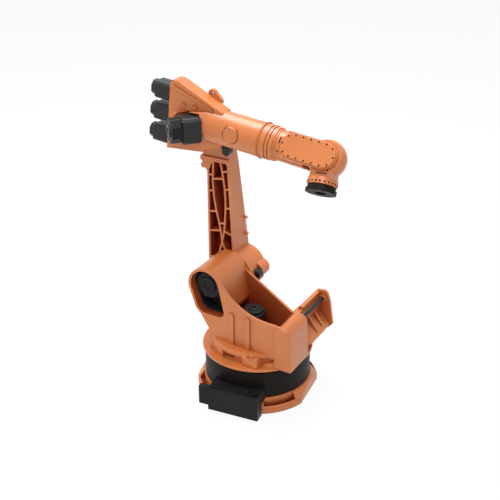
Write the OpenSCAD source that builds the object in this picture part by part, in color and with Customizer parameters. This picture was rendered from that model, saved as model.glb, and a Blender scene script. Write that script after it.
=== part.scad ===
// Desk model of a heavy six-axis industrial robot, forearm folded back over the column bowl.
// Millimetres, +Z up. Origin: centre of the base underside, on the slewing axis.
// +X is the side the forearm points to, -Y the side with the elbow motor and the open shoulder tube.

/* [Base] */
// Radius of the black drum on the base plate
drum_r = 51.7; // [50:0.1:53]
// How far the plate's round corners stand out from the drum
corner_w = 7.8; // [7:0.1:9]
// How far the plate's four flats stand out from the drum
flat_w = 3.3; // [2.6:0.1:4.4]
// Height of the base plate
plate_h = 13.5; // [12:0.5:14]
// Height of the plate's outer rim
rim_h = 5; // [4.6:0.2:6]
// Turn of the base under the column
base_turn = 7; // [0:1:20]

/* [Column] */
// How far the slewing disc stands out from the drum
disc_w = 2.3; // [1:0.1:4]
// Thickness of the bowl's walls
wall = 2.8; // [2.4:0.1:3.2]
// Wall of the shoulder tube round its leaf-shaped mouth
tube_wall = 2.6; // [2.2:0.1:3]

/* [Link arm] */
// Radius of the link arm's lower hub
hub_r = 23; // [22:0.5:24]
// Depth of the pockets in the link arm's open side
pocket_d = 15; // [8:0.5:17]
// Thickness of the ribs between the pockets
rib_t = 1.8; // [1.4:0.1:2.4]

/* [Arm and forearm] */
// Radius of the arm's round barrel
barrel_r = 15.5; // [15:0.1:16]
// Radius of the rolling forearm
fore_r = 13.5; // [13:0.1:13.8]
// Tilt of the forearm below the level
tilt = 6; // [0:0.5:10]
// Roll of the wrist from upright
roll = 35; // [0:1:60]
// Bend of the wrist from straight
bend = 80; // [40:1:90]

/* [Tool flange] */
// Radius of the tool flange
flange_r = 13.5; // [13:0.1:14]
// Radius of the flange's bolt circle
bolt_ring_r = 9.5; // [9:0.1:10]
// Diameter of the flange's bolt holes
bolt_d = 1.6; // [1.2:0.1:2]

/* [Hidden] */
$fn = 96;
orange = "#e0763c";
black = "#24262a";
run = 0.4;                       // running gap between moving bodies
base_r = drum_r + corner_w;      // corner radius of the base plate
base_flat = drum_r + flat_w;     // distance from the axis to its flats
pocket_r0 = drum_r + 1.2;        // corner pockets, inside and outside
pocket_r1 = base_r - 2;
boss_r = (pocket_r1 - pocket_r0) / 2 - 0.2;
boss_c = (pocket_r1 + pocket_r0) / 2;
box_y = -base_flat - 11;         // front of the connection box
box_h = 25;                      // its height
disc_r = drum_r + disc_w;
disc_z0 = 43.1;                  // underside of the slewing disc
disc_h = 2.6;
disc_z1 = disc_z0 + disc_h;      // top of the disc, where the column stands
a2 = [-37, 104];                 // shoulder axis in X and Z
a3 = [-58, 258];                 // elbow axis in X and Z
arm_y = -4;                      // plane of the forearm
ring = [18.5, 254.5];            // centre of the roll joint in X and Z
a5_s = 51;                       // roll joint to wrist bend axis
far_y = 12;                      // outer face of the bowl's far wall
near_y = -35.5;                  // outer face of the bowl's near wall
block_x = 37.4;                  // where the rear block begins
block_y1 = 0;                    // its far face
foot_r = 42;                     // radius and height of the column's foot
foot_h = 10.3;
link_y0 = far_y + run;           // near face of the link's hubs
link_y1 = 40;                    // far face of the link's lower hub
bulb_r = 17;
fork_in = 9.2;                   // half gap between the fork cheeks
cap_y = arm_y - barrel_r + 2.5;  // seat of the round cap, and its centre in X and Z
cap_c = ring + [-36.5, 5.5];
rear_s = (-92 - ring[0]) * cos(tilt) - (231 - ring[1]) * sin(tilt);    // the arm's rear face, along the forearm
function rear_x(z) = -92 + (z - 231) * tan(tilt);                      // and in X at height z

// An outline in X and Z, extruded along Y from y0 to y1
module xz(y0, y1) { translate([0, y1, 0]) rotate([90, 0, 0]) linear_extrude(y1 - y0) children(); }

// A straight bar of thickness t between two points, round at both ends
module bar(p, q, t) {
    translate(p) circle(d = t);
    translate(q) circle(d = t);
    translate(p) rotate(atan2(q[1] - p[1], q[0] - p[0])) translate([0, -t / 2]) square([norm(q - p), t]);
}

// A polyline of bars
module bars(pts, t) { for (i = [0 : len(pts) - 2]) bar(pts[i], pts[i + 1], t); }

// Two circles and the tangent band between them
module pill(c, r, e, q) {
    d = norm(e - c);
    t = atan2(e[1] - c[1], e[0] - c[0]);
    k = acos((r - q) / d);
    translate(c) circle(r);
    translate(e) circle(q);
    polygon([c + r * [cos(t + k), sin(t + k)], c + r * [cos(t - k), sin(t - k)],
             e + q * [cos(t - k), sin(t - k)], e + q * [cos(t + k), sin(t + k)]]);
}

// Points of an arc round c from angle a to angle b, in n steps
function arc(c, r, a, b, n) = [for (i = [0 : n]) c + r * [cos(a + (b - a) * i / n), sin(a + (b - a) * i / n)]];

// A rectangle with cut corners
module cut_square(w, h, c) {
    polygon([[-w/2 + c, -h/2], [w/2 - c, -h/2], [w/2, -h/2 + c], [w/2, h/2 - c],
             [w/2 - c, h/2], [-w/2 + c, h/2], [-w/2, h/2 - c], [-w/2, -h/2 + c]]);
}

// A rectangle with round corners
module round_square(w, h, r) {
    square([w - 2 * r, h], center = true);
    square([w, h - 2 * r], center = true);
    for (x = [-1, 1], y = [-1, 1]) translate([x * (w / 2 - r), y * (h / 2 - r)]) circle(r);
}

// Frames of the moving chain: Z runs along the forearm, then along the tool
module fore() { translate([ring[0], arm_y, ring[1]]) rotate([0, 90 + tilt, 0]) children(); }
module hand() { fore() rotate([0, 0, -roll]) children(); }
module tool() { hand() translate([0, 0, a5_s]) rotate([0, bend, 0]) children(); }

module base_plate() color(orange) rotate([0, 0, base_turn]) difference() {
    union() {
        difference() {
            intersection() {
                union() {
                    cylinder(r = base_r, h = rim_h);
                    translate([0, 0, rim_h])
                        cylinder(r1 = base_r - 0.6, r2 = drum_r + 1.6, h = plate_h - rim_h);
                }
                translate([-base_flat, -base_flat, 0]) cube([2 * base_flat, 2 * base_flat, plate_h]);
            }
            // corner pockets
            for (a = [45 : 90 : 315]) rotate([0, 0, a]) translate([0, 0, 3.6]) intersection() {
                difference() { cylinder(r = pocket_r1, h = plate_h); cylinder(r = pocket_r0, h = plate_h); }
                linear_extrude(plate_h) polygon(base_r * [[0, 0], [2, -0.6], [2, 0.6]]);
            }
        }
        // two bosses in each pocket
        for (a = [45 : 90 : 315], t = [-9, 9]) rotate([0, 0, a + t]) {
            translate([boss_c, 0, 0]) cylinder(r = boss_r, h = 5.4);
        }
    }
    // one boss of each pair has a screw hole through it
    for (a = [45 : 90 : 315]) rotate([0, 0, a - 9])
        translate([boss_c, 0, -1]) cylinder(d = 3, h = plate_h);
}

module base_drum() color(black) translate([0, 0, plate_h]) {
    cylinder(r = drum_r, h = disc_z0 - run - plate_h - 2);
    translate([0, 0, disc_z0 - run - plate_h - 2]) cylinder(r = drum_r - 1.2, h = 2);
}

module connection_box() color(black) rotate([0, 0, base_turn]) difference() {
    union() {
        translate([-24, box_y, 0]) cube([51, -base_flat - box_y, box_h]);
        translate([-36.5, box_y + 6, 0]) cube([12.5, -base_flat - box_y - 6, 20]);
        translate([-24, -base_flat, plate_h]) cube([51, 14, box_h - plate_h]);
    }
    cylinder(r = drum_r + 0.1, h = 60);
    // slot down the stepped end and a three-sided recess in the top of the other
    translate([-25.2, box_y + 5, 14]) cube([1.2, 12, 20]);
    translate([0, box_y, box_h - 2]) linear_extrude(5) polygon([[17, 1.4], [25.6, 1.4], [24.6, 9]]);
}

module connection_box_lid() color(black) rotate([0, 0, base_turn]) difference() {
    translate([-22.5, box_y + 1.5, box_h]) cube([38, 12.5, 0.7]);
    for (x = [-19, 12]) translate([x, box_y + 8, box_h - 1]) cylinder(d = 2.2, h = 4);
}

module column_disc() color(orange) translate([0, 0, disc_z0]) cylinder(r = disc_r, h = disc_h);

// Leaf-shaped outline of the shoulder tube, grown by g: three arcs and the lines that touch them
module leaf(g) polygon(concat(arc([-38, 112], 15.4 + g, 12.8, 198.86, 30),
                              arc([-36.5, 94], 11 + g, 198.86, 270, 12),
                              arc([-22.5, 88.5], 5.5 + g, 270, 372.8, 16)));

// Side outline of the near wall: narrow neck, the tube's leaf and a rim that sweeps down to the rear block
module near_outline() {
    leaf(tube_wall);
    polygon(concat([[-33, 55], [-33, 66], [-48, 90], [-40, 112], [-28, 128]],
                   arc([31, 152], 61, 225, 270, 14), [[block_x, 91], [block_x, 55]]));
}

// Side outline of the far wall, with a straight rim
module far_outline() {
    leaf(tube_wall);
    polygon([[-33, disc_z1], [-33, 66], [-48, 90], [-40, 112], [-30, 121], [33, 81], [33, disc_z1]]);
}

// Upright rib with a rounded head
module wall_rib() polygon(concat([[-2.7, 55], [2.7, 55]], arc([0, 89], 2.7, 0, 180, 10)));

module column_shell() color(orange) difference() {
    union() {
        xz(near_y, near_y + wall) near_outline();
        xz(far_y - wall, far_y) far_outline();
        // cross tube of the shoulder
        xz(near_y + wall, far_y - wall) leaf(tube_wall);
        // round foot that carries the near wall, with two shallow panels and a notch for a lifting eye
        difference() {
            intersection() {
                translate([0, 0, disc_z1]) cylinder(r = foot_r, h = foot_h);
                translate([-36, -50, disc_z1]) cube([36 + block_x, 50 + far_y - wall, foot_h]);
            }
            translate([-14, -46, disc_z1 + 1.4]) cube([12, 6.4, foot_h - 3.4]);
            translate([20.5, -44, disc_z1 + 1.4]) cube([14, 9.2, foot_h - 3.4]);
            xz(-50, -36.6) translate([10, disc_z1 + foot_h]) circle(4.2);
        }
        // end wall under the tube
        translate([-33, near_y + 1, disc_z1 + 5]) cube([wall, far_y - wall - near_y - 1, 31]);
        // upright ribs on the near wall
        for (x = [-8.5, 9]) translate([x, 0, 0]) xz(near_y - 1.4, near_y + 0.5) wall_rib();
    }
    // hollow of the bowl and mouth of the tube
    translate([-33 + wall, near_y + wall, disc_z1 + 3]) cube([70 + block_x, far_y - near_y - 2 * wall, foot_h]);
    xz(near_y - 5, -2) leaf(0);
}

// Arched side outline of the rear block
module shield() polygon(concat([[block_x, disc_z1], [56, disc_z1], [55.4, 64], [54.2, 78]],
                               arc([block_x + 8.3, 82.2], 8.3, -5, 180, 24)));

module rear_block() color(orange) xz(near_y - 1.8, block_y1) shield();

module counterbalance_bracket() color(orange) {
    // end of the bowl, back wall, inclined floor with two gussets, and the outer cheek
    xz(block_y1, far_y - wall) {
        polygon([[33, disc_z1 + 3], [50, disc_z1 + 3], [57, 58], [44, 70], [44, 88], [37, 88], [33, 80]]);
    }
    xz(far_y - wall, far_y) {
        polygon([[33, disc_z1], [50, disc_z1], [57, 58], [44, 70], [44, 91], [40, 91], [33, 81]]);
    }
    xz(far_y, 45) polygon([[33, 46], [50, 46], [57, 58], [44, 70], [44, 91], [40, 91], [33, 72]]);
    for (y = [20, 32]) xz(y, y + 2.4) polygon([[44, 66], [55, 58], [55, 61], [44, 76]]);
    xz(45, 48) polygon([[33, 48], [50, 48], [59, 58], [55, 83], [52, 91], [49, 93], [41, 92], [33, 72]]);
}

module counterbalance_pin() color(black) xz(block_y1, 45) translate([47.5, 84]) circle(1.9);

// Eight-sided motor block
module motor(w, h, l, c) { linear_extrude(l) cut_square(w, h, c); }

module slew_motor() color(black) translate([0, -8, disc_z1 + 3]) motor(21, 21, 34, 5);
module slew_motor_cap() color(black) translate([0, -8, disc_z1 + 37]) difference() {
    union() { linear_extrude(3) cut_square(18, 18, 5); translate([0, 0, 3]) cylinder(r = 5, h = 1.4); }
    translate([0, 0, 2.4]) cylinder(r = 2.2, h = 4);
}

module shoulder_motor() color(black) translate([-37.5, -2, 111]) rotate([90, 0, 0]) motor(27, 29, 25, 8.5);
module shoulder_motor_cap() color(black) translate([-37.5, -27, 111]) rotate([90, 0, 0]) difference() {
    union() { motor(24, 26, 3, 8); cylinder(r = 8.5, h = 4.4); }
    translate([0, 0, 3.4]) cylinder(r = 4, h = 4);
}

// Side outline of the link arm: lower hub, tapered beam and head
module link_outline() {
    translate(a2) circle(hub_r);
    polygon([[-63, 100], [-63, 208], [-68, 213], [-68, 221], [-72, 256], [-44, 256], [-39, 217], [-33.5, 127],
             [-20, 112], [-24, 90], [-50, 86]]);
    translate(a3) circle(14.5);
    translate([-66.5, 220]) circle(4);
    translate([-67, 212.6]) circle(2.8);
}

// Open side of the beam
module link_pocket()
    polygon([[-61, 118], [-61, 209], [-57, 218], [-42, 218], [-41, 215], [-36, 127], [-40, 124]]);

// Net of ribs left standing in the open side
module link_ribs() {
    bars([[-56, 219], [-57, 198], [-56, 183], [-53.5, 168], [-50.5, 156], [-48.5, 146], [-47.5, 136],
          [-53, 116]], rib_t);
    bars([[-48.5, 219], [-46, 208], [-43.5, 191], [-43, 176], [-44, 160], [-45, 148], [-47.5, 136],
          [-41, 121]], rib_t);
    for (b = [[[-62, 204], [-56.5, 204.5]], [[-62, 187.5], [-56, 188.5]], [[-62, 166], [-53.5, 167.5]],
              [[-62, 145.5], [-49, 148]], [[-46, 209.5], [-39, 211]], [[-43, 192], [-37, 193]],
              [[-43, 172.5], [-36, 174]], [[-45, 148], [-34, 145]], [[-56.5, 200.5], [-45.5, 202.5]],
              [[-50.5, 155.5], [-44, 156.5]]]) bar(b[0], b[1], rib_t);
}

module link_arm() color(orange) difference() {
    union() {
        xz(link_y0, link_y1) link_outline();
        // lever boss that carries the counterbalance pin
        xz(26, link_y1) { translate([-18, 106]) circle(8.5); }
    }
    xz(link_y0 - 1, link_y0 + pocket_d) difference() { link_pocket(); link_ribs(); }
    // the head is set back from the arm
    xz(link_y0 - 1, link_y0 + 1.6) translate([-100, 222]) square([80, 80]);
    // far face tapers towards the head
    translate([-100, 0, 0]) rotate([90, 0, 90]) linear_extrude(90)
        polygon([[link_y1, 127], [21.5, 300], [link_y1 + 20, 300], [link_y1 + 20, 127]]);
}

module link_lever_pin() color(black) xz(18, 26) difference() {
    translate([-14.5, 105]) circle(6);
    link_outline();
}
module link_clips() color(orange) for (z = [157, 140]) translate([-33.5 - (z - 127) * 5.5 / 90, 35, z]) {
    rotate([0, 90 - atan(5.5 / 90), 0]) cylinder(r = 1.6, h = 3);
}

// Side outline of the arm's fin and keel
module fin_outline() {
    polygon([[rear_x(233), 233], [rear_x(295), 295], [rear_x(295) + 3, 298.5], [rear_x(295) + 8, 298],
             [-31, 275.5], [-24, 258], [-35, 242.5], [-50.7, 238.4], [-53, 235.5]]);
}

module arm_casting() color(orange) difference() {
    union() {
        xz(arm_y - 7, arm_y + 7) fin_outline();
        // barrel to the roll joint, with a shelf under the fin
        difference() {
            fore() translate([0, 0, rear_s]) cylinder(r = barrel_r, h = -rear_s - run / 2);
            xz(-40, arm_y - 6) polygon([[-120, 230], [-80, 230], [-77, 290], [-120, 290]]);
            for (y = [-40, arm_y + 6]) xz(y, y + 30) {
                polygon([[-120, 269], [-88, 270], [-33, 276], [-33, 320], [-120, 320]]);
            }
        }
        // bead along the fin's upper edge and two studs on its side
        xz(arm_y - 8, arm_y - 6) {
            polygon([[-82.9, 292.7], [-82.1, 294.5], [-39.6, 277.3], [-40.4, 275.5]]);
            for (c = [[-71, 278], [-59, 277]]) translate(c) circle(1.8);
        }
        // boss on the elbow axis
        xz(arm_y, link_y0 + 1.6 - run) translate(a3) circle(14);
    }
    // recess that the elbow motor stands in
    elbow_seat() linear_extrude(60) round_square(25.4, 27.4, 5);
    // groove before the roll joint and the seat of the round cap
    fore() translate([0, 0, -3.5]) difference() {
        cylinder(r = 30, h = 1);
        translate([0, 0, -1]) cylinder(r = barrel_r - 0.7, h = 3);
    }
    xz(-40, cap_y) translate(cap_c) circle(8.2);
}

module arm_cap() color(orange) xz(cap_y - 3, cap_y) translate(cap_c) circle(7.4);
module lifting_lug() color(orange) xz(arm_y + 7, arm_y + 11) difference() {
    pill([-50, 287], 4, [-44, 280.6], 4.2);
    translate([-50, 287]) circle(1.6);
}
module elbow_stop() color(black) xz(arm_y + 7, 10) pill([-39, 243.4], 3, [-36.5, 234], 4);

// The elbow motor leans back from the side of the arm
module elbow_seat() translate([-55, -13, 259]) rotate([0, 0, -40]) rotate([90, 0, 0]) children();
module elbow_motor() color(black) elbow_seat() motor(22, 24, 17, 3);
module elbow_motor_cap() color(black) elbow_seat() translate([0, 0, 17]) motor(20, 22, 10, 6);

module rear_motor(z) translate([rear_x(z), arm_y, z]) rotate([0, -90 + tilt, 0]) {
    linear_extrude(16) cut_square(16, 15, 2);
    translate([0, 0, 16]) linear_extrude(5) cut_square(13.5, 12.5, 3.5);
}
module upper_motor() color(black) rear_motor(285.5);
module middle_motor() color(black) rear_motor(265);
module lower_motor() color(black) rear_motor(244);

module roll_ring() color(orange) fore() translate([0, 0, run / 2]) {
    cylinder(r = barrel_r - 0.4, h = 4);
    translate([0, 0, 4]) cylinder(r = fore_r + 0.6, h = 2);
}

// Side outline of the hand's cheeks: straight sides and a round end on the bend axis
module cheek_outline() { translate([a5_s, 0]) circle(12); translate([a5_s - 37, -12]) square([37, 24]); }

module forearm_barrel() color(orange) hand() difference() {
    union() {
        translate([0, 0, 6 + run / 2]) cylinder(r = fore_r, h = a5_s - 6);
        rotate([0, -90, 90]) translate([0, 0, -12.6]) linear_extrude(25.2) cheek_outline();
    }
    // gap for the wrist bulb
    translate([-40, -fork_in, a5_s - bulb_r - run]) cube([80, 2 * fork_in, 60]);
    // flat seats for the side covers
    for (s = [-1, 1]) translate([-20, s > 0 ? 12.6 : -32.6, 10.8]) cube([40, 20, 80]);
}

module side_cover() linear_extrude(1.6) {
    translate([a5_s, 0]) circle(11);
    translate([22, -11]) square([a5_s - 22, 22]);
    translate([22, 0]) circle(11);
}
module near_cover() color(orange) hand() rotate([0, -90, 90]) translate([0, 0, 12.6]) side_cover();
module far_cover() color(orange) hand() rotate([0, -90, 90]) translate([0, 0, -14.2]) side_cover();

module wrist_bulb() color(orange) tool() {
    intersection() {
        sphere(r = bulb_r, $fn = 120);
        translate([-30, -fork_in + run, -30]) cube([60, 2 * (fork_in - run), 60]);
    }
    translate([-10, -fork_in + run, 8]) cube([20, 2 * (fork_in - run), 9.6]);
}
module wrist_collar() color(orange) tool() translate([0, 0, 17.6]) cylinder(r = 13.2, h = 6);

module tool_flange() color(black) tool() translate([0, 0, 23.6 + run]) difference() {
    union() { cylinder(r = flange_r - 1.2, h = 2.6); translate([0, 0, 2.6]) cylinder(r = flange_r, h = 3.2); }
    translate([0, 0, 2.8]) cylinder(r = 5, h = 6);
    for (a = [0 : 60 : 300]) rotate([0, 0, a]) translate([bolt_ring_r, 0, 1.8]) cylinder(d = bolt_d, h = 6);
}

base_plate();
base_drum();
connection_box();
connection_box_lid();
column_disc();
column_shell();
rear_block();
counterbalance_bracket();
counterbalance_pin();
slew_motor();
slew_motor_cap();
shoulder_motor();
shoulder_motor_cap();
link_arm();
link_lever_pin();
link_clips();
arm_casting();
arm_cap();
lifting_lug();
elbow_stop();
elbow_motor();
elbow_motor_cap();
upper_motor();
middle_motor();
lower_motor();
roll_ring();
forearm_barrel();
near_cover();
far_cover();
wrist_bulb();
wrist_collar();
tool_flange();
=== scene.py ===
"""Desk model of a heavy six-axis industrial robot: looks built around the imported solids."""
import math

import bmesh
import bpy
from mathutils import Matrix, Vector


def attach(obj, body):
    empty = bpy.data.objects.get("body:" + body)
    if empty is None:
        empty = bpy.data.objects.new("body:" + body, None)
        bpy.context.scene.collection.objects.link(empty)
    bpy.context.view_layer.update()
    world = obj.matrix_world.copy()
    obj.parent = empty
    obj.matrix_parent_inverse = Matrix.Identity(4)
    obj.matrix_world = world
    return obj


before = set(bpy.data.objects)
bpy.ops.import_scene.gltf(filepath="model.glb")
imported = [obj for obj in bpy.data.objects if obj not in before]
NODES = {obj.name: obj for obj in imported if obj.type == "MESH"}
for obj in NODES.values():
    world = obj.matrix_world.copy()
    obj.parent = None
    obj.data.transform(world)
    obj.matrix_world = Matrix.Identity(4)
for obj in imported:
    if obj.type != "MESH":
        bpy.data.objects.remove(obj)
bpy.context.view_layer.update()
MM = 0.001
scene = bpy.context.scene
scene.view_settings.view_transform = "Standard"

# Places of the moving chain at rest, in millimetres: arm tilt, forearm roll, wrist bend
TILT, ROLL, BEND = math.radians(6), math.radians(35), math.radians(80)
RING = Vector((18.5, -4.0, 254.5))
WRIST_S = 51.0
BASE_TURN = 7


def turn(axis, angle):
    return Matrix.Rotation(angle, 4, axis)


FORE = Matrix.Translation(RING) @ turn("Y", math.pi / 2 + TILT)
HAND = FORE @ turn("Z", -ROLL)
TOOL = HAND @ Matrix.Translation((0, 0, WRIST_S)) @ turn("Y", BEND)


def move(x, y, z):
    return Matrix.Translation((x, y, z))


def stand(point, normal):
    """A place with Z along the normal."""
    q = Vector(normal).normalized().to_track_quat("Z", "Y")
    return Matrix.Translation(Vector(point)) @ q.to_matrix().to_4x4()


# Materials
def moulded(name, colour, light, dark, rough, grain, painted_shade, gloss=0.5, reach=0.03):
    """Moulded plastic: a little colour drift, a fine grain, and painted shade that darkens the colour deep
    in pockets and creases.
    """
    m = bpy.data.materials.new(name)
    m.use_nodes = True
    t = m.node_tree
    n, link = t.nodes, t.links.new
    n.clear()
    out = n.new("ShaderNodeOutputMaterial")
    p = n.new("ShaderNodeBsdfPrincipled")
    link(p.outputs[0], out.inputs["Surface"])
    co = n.new("ShaderNodeTexCoord")
    drift = n.new("ShaderNodeTexNoise")
    drift.inputs["Scale"].default_value = 26
    drift.inputs["Detail"].default_value = 4
    link(co.outputs["Object"], drift.inputs["Vector"])
    ramp = n.new("ShaderNodeValToRGB")
    ramp.color_ramp.elements[0].position = 0.3
    ramp.color_ramp.elements[0].color = (*[c * dark for c in colour], 1)
    ramp.color_ramp.elements[1].position = 0.72
    ramp.color_ramp.elements[1].color = (*[min(1, c * light) for c in colour], 1)
    link(drift.outputs["Fac"], ramp.inputs["Fac"])
    # Painted shade: ambient occlusion pulls the base colour towards the shade colour in pockets and creases
    deep = n.new("ShaderNodeAmbientOcclusion")
    deep.samples = 8
    deep.only_local = True
    deep.inputs["Distance"].default_value = reach
    shade = n.new("ShaderNodeValToRGB")
    shade.color_ramp.elements[0].position = 0.18
    shade.color_ramp.elements[0].color = (*painted_shade, 1)
    shade.color_ramp.elements[1].position = 0.88
    shade.color_ramp.elements[1].color = (1, 1, 1, 1)
    link(deep.outputs["AO"], shade.inputs["Fac"])
    mix = n.new("ShaderNodeMix")
    mix.data_type = "RGBA"
    mix.blend_type = "MULTIPLY"
    mix.inputs["Factor"].default_value = 1
    link(ramp.outputs["Color"], mix.inputs["A"])
    link(shade.outputs["Color"], mix.inputs["B"])
    link(mix.outputs["Result"], p.inputs["Base Color"])
    wear = n.new("ShaderNodeTexNoise")
    wear.inputs["Scale"].default_value = 90
    wear.inputs["Detail"].default_value = 6
    link(co.outputs["Object"], wear.inputs["Vector"])
    span = n.new("ShaderNodeMapRange")
    span.inputs["To Min"].default_value = rough - 0.06
    span.inputs["To Max"].default_value = rough + 0.1
    link(wear.outputs["Fac"], span.inputs["Value"])
    link(span.outputs["Result"], p.inputs["Roughness"])
    fine = n.new("ShaderNodeTexNoise")
    fine.inputs["Scale"].default_value = 1900
    fine.inputs["Detail"].default_value = 2
    link(co.outputs["Object"], fine.inputs["Vector"])
    bump = n.new("ShaderNodeBump")
    bump.inputs["Strength"].default_value = grain
    bump.inputs["Distance"].default_value = 0.0001
    link(fine.outputs["Fac"], bump.inputs["Height"])
    link(bump.outputs["Normal"], p.inputs["Normal"])
    p.inputs["IOR"].default_value = 1.48
    p.inputs["Specular IOR Level"].default_value = gloss
    return m


# The colour before the gloss value in each material is its painted shade for pockets and creases
ORANGE = moulded("orange_moulding", (0.55, 0.162, 0.041), 1.06, 0.94, 0.30, 0.10, (0.44, 0.12, 0.11),
                 gloss=0.6, reach=0.08)
DRUM = moulded("drum_moulding", (0.0075, 0.0055, 0.0045), 1.2, 0.8, 0.46, 0.12, (0.6, 0.6, 0.6), 0.12)
BOX = moulded("box_moulding", (0.009, 0.0095, 0.0105), 1.2, 0.8, 0.40, 0.14, (0.6, 0.6, 0.6), 0.18)
BLACK = moulded("black_moulding", (0.012, 0.0125, 0.013), 1.2, 0.8, 0.36, 0.14, (0.6, 0.6, 0.6), 0.35)
# Dark brown-red for screws, the vent and the slot: painted shade of their recesses
SHADE_SCREW = moulded("screws_painted_shade", (0.042, 0.012, 0.007), 1.15, 0.85, 0.40, 0.05, (0.5, 0.4, 0.4), 0.2)
SATIN = moulded("black_satin", (0.022, 0.023, 0.024), 1.2, 0.85, 0.30, 0.08, (0.5, 0.5, 0.5))
OTHER = {"base_drum": DRUM, "tool_flange": DRUM, "connection_box": BOX, "connection_box_lid": BOX,
         "shoulder_motor": BOX, "shoulder_motor_cap": BOX, "elbow_motor_cap": BOX}

# The solids keep their shape; their sharp edges get the small radius of a moulding, in millimetres
EDGE_STEPS, EDGE_ANGLE = 3, math.radians(33)
BLACK_NODES = {
    "base_drum": 0.5, "connection_box": 0.5, "connection_box_lid": 0.35, "counterbalance_pin": 0.2,
    "slew_motor": 0.5, "slew_motor_cap": 0.4, "shoulder_motor": 0.5, "shoulder_motor_cap": 0.4,
    "link_lever_pin": 0.4, "elbow_stop": 0.4, "elbow_motor": 0.7, "elbow_motor_cap": 0.6,
    "upper_motor": 0.5, "middle_motor": 0.5, "lower_motor": 0.5, "tool_flange": 0.3,
}
ROUND = {"column_shell": 0.9, "rear_block": 1.6, "arm_casting": 0.8, "link_arm": 0.45, "near_cover": 0.45,
         "far_cover": 0.45, "base_plate": 0.7, "counterbalance_bracket": 0.8, "wrist_bulb": 0.5,
         "wrist_collar": 0.5, "roll_ring": 0.5, "arm_cap": 0.6, "lifting_lug": 0.8, "link_clips": 0.4,
         "forearm_barrel": 0.6, "column_disc": 0.6}

for name, o in NODES.items():
    o.data.materials.clear()
    o.data.materials.append(OTHER.get(name, BLACK if name in BLACK_NODES else ORANGE))
    with bpy.context.temp_override(object=o, active_object=o, selected_objects=[o]):
        bpy.ops.mesh.customdata_custom_splitnormals_clear()
    for f in o.data.polygons:
        f.use_smooth = True
    weld = o.modifiers.new("weld", "WELD")
    weld.merge_threshold = 2e-6
    # The arm's long flat faces are left as they are, because joining them spoils their shading
    if name != "arm_casting":
        flat = o.modifiers.new("flat", "DECIMATE")
        flat.decimate_type = "DISSOLVE"
        flat.angle_limit = math.radians(0.4)
    edge = o.modifiers.new("edge", "BEVEL")
    edge.width = BLACK_NODES.get(name, ROUND.get(name, 0.4)) * MM
    edge.segments = EDGE_STEPS
    edge.limit_method = "ANGLE"
    edge.angle_limit = EDGE_ANGLE
    edge.use_clamp_overlap = True
    even = o.modifiers.new("even", "WEIGHTED_NORMAL")
    even.weight = 90
    even.keep_sharp = True


# Small pieces
SHADE_ANGLE = math.radians(40)
SCREW_SIDES, SUNK = 16, -0.3


def piece(name, body, material, build):
    """A mesh piece made by build(bm) in millimetres, riding on a body."""
    bm = bmesh.new()
    build(bm)
    bmesh.ops.recalc_face_normals(bm, faces=bm.faces)
    me = bpy.data.meshes.new(name)
    bmesh.ops.scale(bm, vec=(MM, MM, MM), verts=bm.verts)
    bm.to_mesh(me)
    bm.free()
    for f in me.polygons:
        f.use_smooth = True
    me.set_sharp_from_angle(angle=SHADE_ANGLE)
    o = bpy.data.objects.new(name, me)
    scene.collection.objects.link(o)
    me.materials.append(material)
    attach(o, body)
    return o


def skin(bm, rows):
    """Joins a run of equal loops and closes both ends."""
    for a, b in zip(rows, rows[1:]):
        for k in range(len(a)):
            m = (k + 1) % len(a)
            bm.faces.new((a[k], a[m], b[m], b[k]))
    bm.faces.new(rows[0])
    bm.faces.new(rows[-1][::-1])


def lathe(bm, place, profile, seg):
    """Adds a turned shape: (radius, height) points round Z, closed where the radius is 0."""
    rows = []
    turns = [2 * math.pi * i / seg for i in range(seg)]
    for r, z in profile:
        if r < 1e-6:
            rows.append([bm.verts.new(place @ Vector((0, 0, z)))])
        else:
            rows.append([bm.verts.new(place @ Vector((r * math.cos(t), r * math.sin(t), z))) for t in turns])
    for a, b in zip(rows, rows[1:]):
        for i in range(seg):
            j = (i + 1) % seg
            if len(a) == 1:
                bm.faces.new((a[0], b[i], b[j]))
            elif len(b) == 1:
                bm.faces.new((a[i], a[j], b[0]))
            else:
                bm.faces.new((a[i], a[j], b[j], b[i]))


def screw_head(r, h):
    """Profile of a cap screw with a socket, sunk a little into its seat."""
    rim = [(0, SUNK), (r, SUNK), (r, 0.62 * h), (0.8 * r, h)]
    return rim + [(0.5 * r, h), (0.44 * r, 0.3 * h), (0, 0.3 * h)]


def screws(name, body, material, places, r, h):
    head = screw_head(r, h)
    piece(name, body, material, lambda bm: [lathe(bm, p, head, SCREW_SIDES) for p in places])


def ringed(name, body, material, place, r0, r1, h, seg):
    """A flat ring with soft edges."""
    c = 0.25 * h
    prof = [(r0, 0), (r1, 0), (r1, h - c), (r1 - c, h), (r0 + c, h), (r0, h - c), (r0, 0)]

    def build(bm):
        lathe(bm, place, prof, seg)
        bmesh.ops.remove_doubles(bm, verts=bm.verts, dist=1e-5)
    piece(name, body, material, build)


def slab(name, body, material, slot, outline, y0, y1, soft):
    """An outline in X and Z, extruded along Y from y0 to y1, with soft edges."""
    o = piece(name, body, material,
              lambda bm: skin(bm, [[bm.verts.new((x, y, z)) for x, z in outline] for y in (y0, y1)]))
    edge = o.modifiers.new("edge", "BEVEL")
    edge.width = soft * MM
    edge.segments = EDGE_STEPS
    edge.limit_method = "ANGLE"
    edge.angle_limit = EDGE_ANGLE


def arc(cx, cz, r, a, b, n):
    """Points of an arc in degrees."""
    steps = [math.radians(a + (b - a) * i / n) for i in range(n + 1)]
    return [(cx + r * math.cos(t), cz + r * math.sin(t)) for t in steps]


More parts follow.
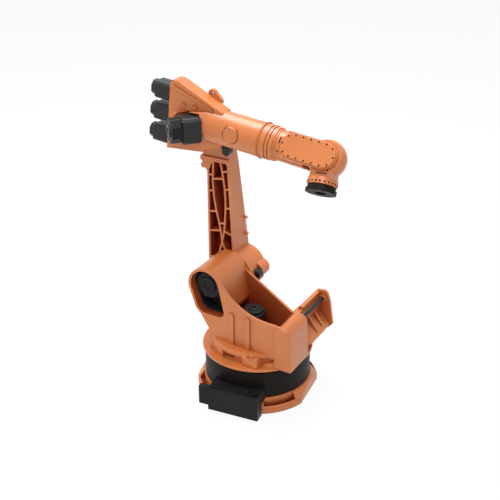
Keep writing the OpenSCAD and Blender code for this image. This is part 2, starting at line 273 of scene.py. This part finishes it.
# The near wall runs on behind the rear block's arch, and the foot carries a block with a lifting eye
WALL_Y = (-35.4, -32.8)
slab("wall_shoulder", "column", ORANGE, "orange_plastic",
     [(37.0, 81.0), (46.0, 84.0), (46.0, 90.3), (42.0, 90.9), (37.0, 91.0)], *WALL_Y, 0.5)
EYE_X, EYE_R, EYE_TOP, DISC_TOP = (9.0, 18.0, 25.0), 4.2, 56.8, 45.8
slab("lifting_eye", "column", ORANGE, "orange_plastic",
     [(EYE_X[0], DISC_TOP), (EYE_X[2], DISC_TOP), (EYE_X[2], EYE_TOP), (22.6, EYE_TOP)]
     + arc(EYE_X[1], EYE_TOP, EYE_R, 0, -180, 14)[1:-1] + [(13.4, EYE_TOP), (EYE_X[0], EYE_TOP)],
     -46.4, -33.6, 0.6)
slab("eye_floor", "column", ORANGE, "orange_plastic",
     [(12.6, 46.0), (23.4, 46.0), (23.4, 53.6), (12.6, 53.6)], -44.6, -33.8, 0.5)

# Round ledge of the foot: a solid nose on the left, then a lip over the recess, up to the lifting eye
LEDGE_R, LEDGE_IN, FOOT_Z, LIP_Z = 45.6, -33.6, 45.9, 53.6
LEDGE_X = (-29.4, -14.0, 31.0)
LEDGE_TOP, LEDGE_RISE, RISE_X, RISE_RUN = 57.0, 2.6, 12.0, 40.0


def ledge_part(bm, x0, x1, low, steps):
    """A strip of the ledge from x0 to x1 that reaches down to the height low."""
    rows = []
    for i in range(steps + 1):
        x = x0 + (x1 - x0) * i / steps
        out = -math.sqrt(LEDGE_R ** 2 - x ** 2)
        top = LEDGE_TOP + LEDGE_RISE * min(max((RISE_X - x) / RISE_RUN, 0.0), 1.0)
        side = ((LEDGE_IN, low), (out, low), (out, top - 1.0), (out + 0.3, top - 0.3),
                (out + 1.0, top), (LEDGE_IN, top))
        rows.append([bm.verts.new((x, y, z)) for y, z in side])
    skin(bm, rows)


def ledge(bm):
    ledge_part(bm, LEDGE_X[0], LEDGE_X[1], FOOT_Z, 16)
    ledge_part(bm, LEDGE_X[1], LEDGE_X[2], LIP_Z, 36)


piece("foot_ledge", "column", ORANGE, ledge)

# Fill under the near wall and the left end wall, where the round foot stops short of the corner
END_X = -32.9
slab("corner_fill", "column", ORANGE, "orange_plastic",
     [(END_X, FOOT_Z), (-23.0, FOOT_Z), (-23.0, 55.8), (END_X, 55.8)], *WALL_Y, 0.2)
slab("corner_sill", "column", ORANGE, "orange_plastic",
     [(END_X, FOOT_Z), (-30.3, FOOT_Z), (-30.3, 51.2), (END_X, 51.2)], -34.6, -24.0, 0.25)

# Raised band round the arm's barrel, before the roll joint
ringed("arm_band", "arm", ORANGE, FORE @ move(0, 0, -16.2), 15.0, 15.72, 6.8, 96)

# Elbow motor: boss on its end and screws at its corners; screws on the three rear motors
ELBOW = move(-55, -13, 259) @ turn("Z", math.radians(-40)) @ turn("X", math.pi / 2)
BOSS = [(0, SUNK), (5.6, SUNK), (5.6, 0.9), (5.0, 1.4), (3.4, 1.4), (3.0, 0.6), (0, 0.6)]
piece("elbow_motor_boss", "arm", SATIN,
      lambda bm: lathe(bm, ELBOW @ move(0, 0, 27), BOSS, 36))
screws("elbow_motor_screws", "arm", SATIN,
       [ELBOW @ move(x, y, 17) for x in (-8.9, 8.9) for y in (-9.9, 9.9)], 0.9, 0.7)
REAR_FOOT = (-92, 231)
rear = []
for z in (285.5, 265, 244):
    seat = move(REAR_FOOT[0] + (z - REAR_FOOT[1]) * math.tan(TILT), -4, z) @ turn("Y", TILT - math.pi / 2)
    rear += [seat @ move(x, y, 16) for x in (-6.4, 6.4) for y in (-5.9, 5.9)]
screws("rear_motor_screws", "arm", SATIN, rear, 0.75, 0.6)


# Black sleeve fitted to the tube round the shoulder motor, painted shade for the tube's shadowed inside, and
# the plate that the motor stands on
def leaf(grow):
    """Outline of the tube's mouth."""
    return (arc(-38, 112, 15.4 + grow, 12.8, 198.86, 30) + arc(-36.5, 94, 11 + grow, 198.86, 270, 12)
            + arc(-22.5, 88.5, 5.5 + grow, 270, 372.8, 16))


def shade_sleeve(bm):
    """A thin black sleeve of painted shade inside the tube, with its mouth rounded on the inside."""
    section = ((-0.15, -27.0), (-0.15, -3.0), (-1.1, -3.0), (-1.1, -26.4), (-0.7, -27.0))
    rows = [[bm.verts.new((x, y, z)) for x, z in leaf(grow)] for grow, y in section]
    for k, a in enumerate(rows):
        b = rows[(k + 1) % len(rows)]
        for i in range(len(a)):
            j = (i + 1) % len(a)
            bm.faces.new((a[i], a[j], b[j], b[i]))


piece("tube_shade_sleeve", "column", BLACK, shade_sleeve)
slab("shoulder_motor_plate", "column", BLACK, "black_plastic", leaf(-0.9), -16.0, -14.0, 0.3)


# Screws round the long side covers of the forearm, dark brown-red as painted shade of their recesses
COVER_ENDS, COVER_R, COVER_Y, END_TURNS = (22, 51), 9.5, 14.2, (-0.85, 0, 0.85)


def cover_places(side):
    """Screw places along both edges and round both ends of one cover."""
    near, far = COVER_ENDS
    spots = [(near + (far - near) * k / 4, t) for k in range(5) for t in (-COVER_R, COVER_R)]
    spots += [(far + COVER_R * math.cos(a), COVER_R * math.sin(a)) for a in END_TURNS]
    spots += [(near - COVER_R * math.cos(a), COVER_R * math.sin(a)) for a in END_TURNS]
    out = (HAND.to_3x3() @ Vector((0, side, 0))).normalized()
    return [stand(HAND @ Vector((t, side * COVER_Y, s)), out) for s, t in spots]


screws("near_cover_screws", "forearm", SHADE_SCREW, cover_places(-1), 0.8, 0.35)
screws("far_cover_screws", "forearm", SHADE_SCREW, cover_places(1), 0.8, 0.35)

# Screws round the wrist collar, dark brown-red as painted shade of their holes
COLLAR_R, COLLAR_Z, COLLAR_SCREWS = 13.2, 21.6, 22
collar = []
for i in range(COLLAR_SCREWS):
    a = 2 * math.pi * i / COLLAR_SCREWS
    out = Vector((math.cos(a), math.sin(a), 0))
    collar.append(stand(TOOL @ (COLLAR_R * out + Vector((0, 0, COLLAR_Z))), TOOL.to_3x3() @ out))
screws("collar_screws", "wrist", SHADE_SCREW, collar, 0.85, 0.3)

# Curved vent and a screw at the forearm's root, by angle round the forearm in degrees; the vent is a thin
# dark strip of painted shade in a groove
VENT_R, VENT_S, VENT_FROM, VENT_SPAN, VENT_STEPS, VENT_SCREW = 13.5, 9.3, -22, 28, 12, 36


def vent(bm):
    rows = []
    for i in range(VENT_STEPS + 1):
        a = math.radians(VENT_FROM + VENT_SPAN * i / VENT_STEPS)
        half = 0.35 if i in (0, VENT_STEPS) else 0.6
        section = ((VENT_R + 0.12, -half), (VENT_R + 0.12, half),
                   (VENT_R + SUNK, half), (VENT_R + SUNK, -half))
        rows.append([bm.verts.new(HAND @ Vector((r * math.sin(a), -r * math.cos(a), VENT_S + t)))
                     for r, t in section])
    skin(bm, rows)
    a = math.radians(VENT_SCREW)
    out = Vector((math.sin(a), -math.cos(a), 0))
    seat = stand(HAND @ (VENT_R * out + Vector((0, 0, VENT_S))), HAND.to_3x3() @ out)
    lathe(bm, seat, screw_head(0.8, 0.3), SCREW_SIDES)


piece("forearm_vent", "forearm", SHADE_SCREW, vent)

# Slot and screw on the near face of the wrist block: thin dark pieces of painted shade standing for the
# recesses
SLOT_Y = (-8.9, -8.5)
SLOT = arc(4.5, 14.2, 0.55, -90, 90, 8) + arc(-4.5, 14.2, 0.55, 90, 270, 8)
SLOT_SCREW = arc(-5.0, 11.4, 0.7, 0, 345, 23)


def slot(bm):
    for outline in (SLOT, SLOT_SCREW):
        skin(bm, [[bm.verts.new(TOOL @ Vector((x, y, z))) for x, z in outline] for y in SLOT_Y])


piece("wrist_slot", "wrist", SHADE_SCREW, slot)

# Screws on the box lid, the slewing motor and the shoulder motor
screws("lid_screws", "base", SATIN,
       [turn("Z", math.radians(BASE_TURN)) @ move(x, -58, 25.1) for x in (-19, 12)], 1.0, 0.8)
screws("slew_motor_screws", "column", SATIN,
       [move(x, -8 + y, 85.7) for x in (-6.6, 6.6) for y in (-4, 4)], 0.8, 0.5)
screws("shoulder_motor_screws", "column", SATIN,
       [stand((-37.5 + x, -30, 111 + z), (0, -1, 0)) for x in (-10.3, 10.3) for z in (-3, 3)], 0.8, 0.5)

# Screws on the closed bosses in the base plate's corner pockets, in the dark brown-red of painted shade
BOSS_TURN, BOSS_RING = 9, 55.2
corner = [turn("Z", math.radians(BASE_TURN + BOSS_TURN + 45 + 90 * i)) @ move(BOSS_RING, 0, 5.4)
          for i in range(4)]
screws("corner_screws", "base", SHADE_SCREW, corner, 1.5, 0.9)

# Washers on the cross pin
for i, (y, facing) in enumerate(((0.0, 1), (45.0, -1))):
    ringed("pin_washer_%d" % (i + 1), "column", ORANGE,
           stand((47.5, y, 84), (0, facing, 0)), 1.9, 3.4, 1.1, 32)


# Camera at the photograph's angle
az, el, dist = math.radians(30), 0.4623, 0.850
AIM = Vector((-0.006674, -0.003853, 0.14448))
back = Vector((math.sin(az) * math.cos(el), -math.cos(az) * math.cos(el), math.sin(el)))
cam = bpy.data.objects.new("camera", bpy.data.cameras.new("camera"))
scene.collection.objects.link(cam)
cam.data.sensor_width = 36
cam.data.lens = 65.31
cam.location = AIM + back * dist
cam.rotation_mode = "QUATERNION"
cam.rotation_quaternion = (-back).to_track_quat("-Z", "Y")
cam.data.clip_start, cam.data.clip_end = 0.01, 20
scene.camera = cam


# Soft lamps, a white surround and a pale floor
LAMP_AIM = Vector((0, 0, 0.15))


def lamp(name, place, size, power):
    d = bpy.data.lights.new(name, "AREA")
    d.shape = "DISK"
    d.size = size
    d.energy = power
    o = bpy.data.objects.new(name, d)
    scene.collection.objects.link(o)
    o.location = place
    o.rotation_mode = "QUATERNION"
    o.rotation_quaternion = (LAMP_AIM - Vector(place)).to_track_quat("-Z", "Y")


lamp("key", (0.35, -0.75, 1.15), 0.8, 7.0)
lamp("top", (-0.25, 0.25, 1.3), 0.9, 18.0)
lamp("left", (-1.1, -0.5, 0.55), 0.8, 3.2)


def seen(nodes, link):
    """1 for rays that show the surround: straight from the camera, in gloss or through glass."""
    path = nodes.new("ShaderNodeLightPath")
    total = path.outputs["Is Camera Ray"]
    for name in ("Is Glossy Ray", "Is Transmission Ray"):
        add = nodes.new("ShaderNodeMath")
        add.operation = "ADD"
        add.use_clamp = True
        link(total, add.inputs[0])
        link(path.outputs[name], add.inputs[1])
        total = add.outputs[0]
    return total


world = bpy.data.worlds.new("surround")
scene.world = world
world.use_nodes = True
wn, wl = world.node_tree.nodes, world.node_tree.links.new
wn.clear()
w_out = wn.new("ShaderNodeOutputWorld")
w_mix = wn.new("ShaderNodeMixShader")
w_dim = wn.new("ShaderNodeBackground")
w_dim.inputs["Strength"].default_value = 0.42
w_dim.inputs["Color"].default_value = (1, 1, 1, 1)
w_white = wn.new("ShaderNodeBackground")
w_white.inputs["Color"].default_value = (1, 1, 1, 1)
wl(seen(wn, wl), w_mix.inputs["Fac"])
wl(w_dim.outputs[0], w_mix.inputs[1])
wl(w_white.outputs[0], w_mix.inputs[2])
wl(w_mix.outputs[0], w_out.inputs["Surface"])

fm = bpy.data.materials.new("pale_floor")
fm.use_nodes = True
fn, fl = fm.node_tree.nodes, fm.node_tree.links.new
fn.clear()
f_out = fn.new("ShaderNodeOutputMaterial")
f_mix = fn.new("ShaderNodeMixShader")
f_part = fn.new("ShaderNodeMath")
f_part.operation = "MULTIPLY"
f_part.inputs[1].default_value = 0.9
f_diff = fn.new("ShaderNodeBsdfDiffuse")
f_diff.inputs["Color"].default_value = (0.86, 0.86, 0.86, 1)
f_glow = fn.new("ShaderNodeEmission")
fl(seen(fn, fl), f_part.inputs[0])
fl(f_part.outputs[0], f_mix.inputs["Fac"])
fl(f_diff.outputs[0], f_mix.inputs[1])
fl(f_glow.outputs[0], f_mix.inputs[2])
fl(f_mix.outputs[0], f_out.inputs["Surface"])
fme = bpy.data.meshes.new("floor")
FLOOR_HALF, FLOOR_DROP = 6, -0.0003
fme.from_pydata([(FLOOR_HALF * x, FLOOR_HALF * y, 0) for x, y in ((-1, -1), (1, -1), (1, 1), (-1, 1))],
                [], [(0, 1, 2, 3)])
floor = bpy.data.objects.new("floor", fme)
floor.location.z = FLOOR_DROP
fme.materials.append(fm)
scene.collection.objects.link(floor)
